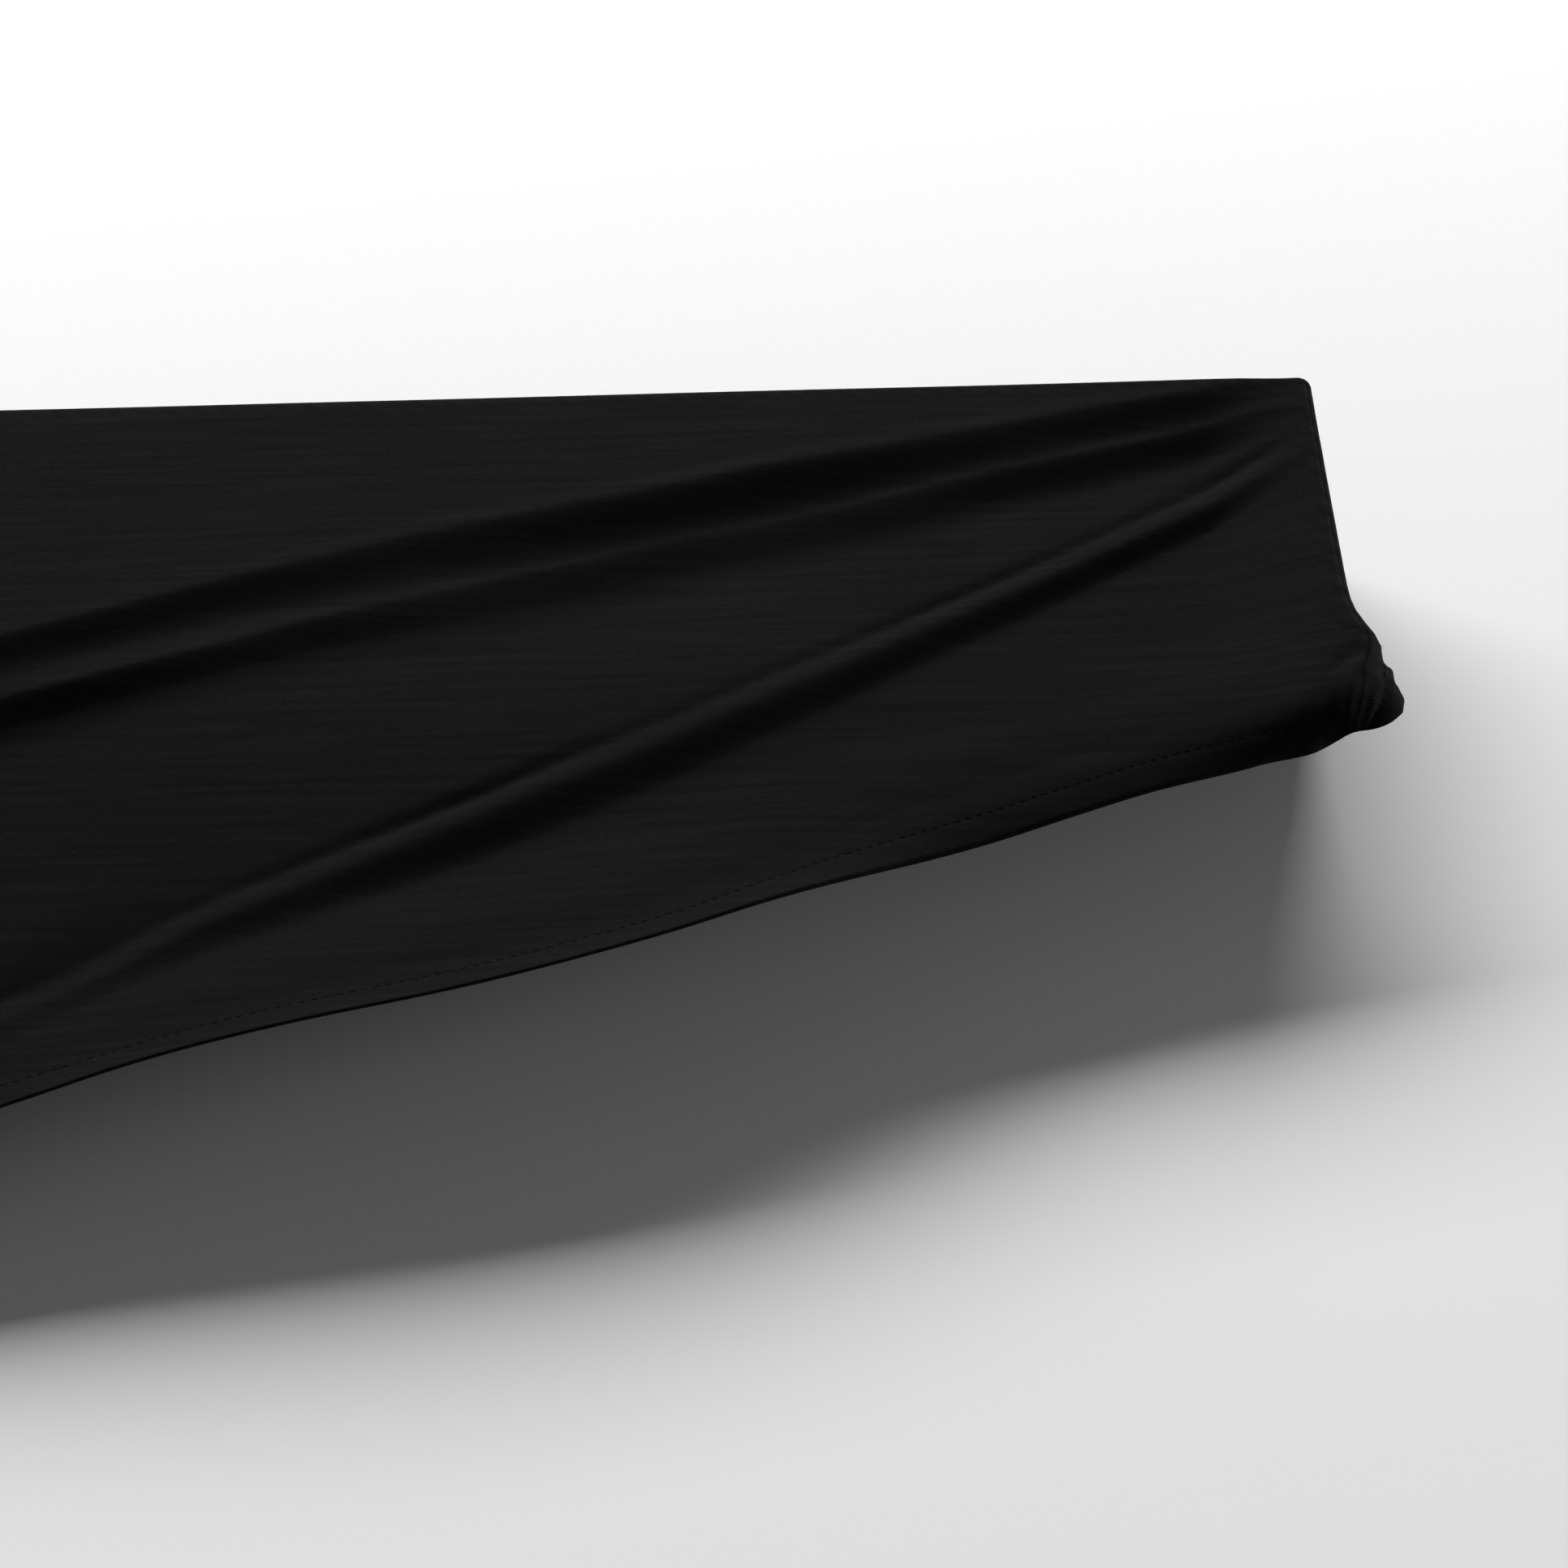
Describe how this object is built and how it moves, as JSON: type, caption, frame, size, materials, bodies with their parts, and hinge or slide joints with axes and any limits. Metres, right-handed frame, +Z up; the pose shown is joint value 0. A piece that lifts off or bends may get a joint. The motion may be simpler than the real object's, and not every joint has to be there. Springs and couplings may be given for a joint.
{
  "type": "keyboard dust cover",
  "caption": "Low black stretch-cloth dust cover with an elasticated hem, shaped over a long slim body, its front right corner pulled back in slanting folds.",
  "frame": {"origin": "middle of the top, on the underside of the cloth, where it lies on what it covers", "axes": "+X along the length to the right end, +Y to the back, +Z up"},
  "size_m": [0.9423, 0.2949, 0.0696],
  "materials": {
    "cloth": "matte black stretch knit with a soft sheen"
  },
  "bodies": {
    "root": {"cover": "cloth"}
  },
  "joints": []
}
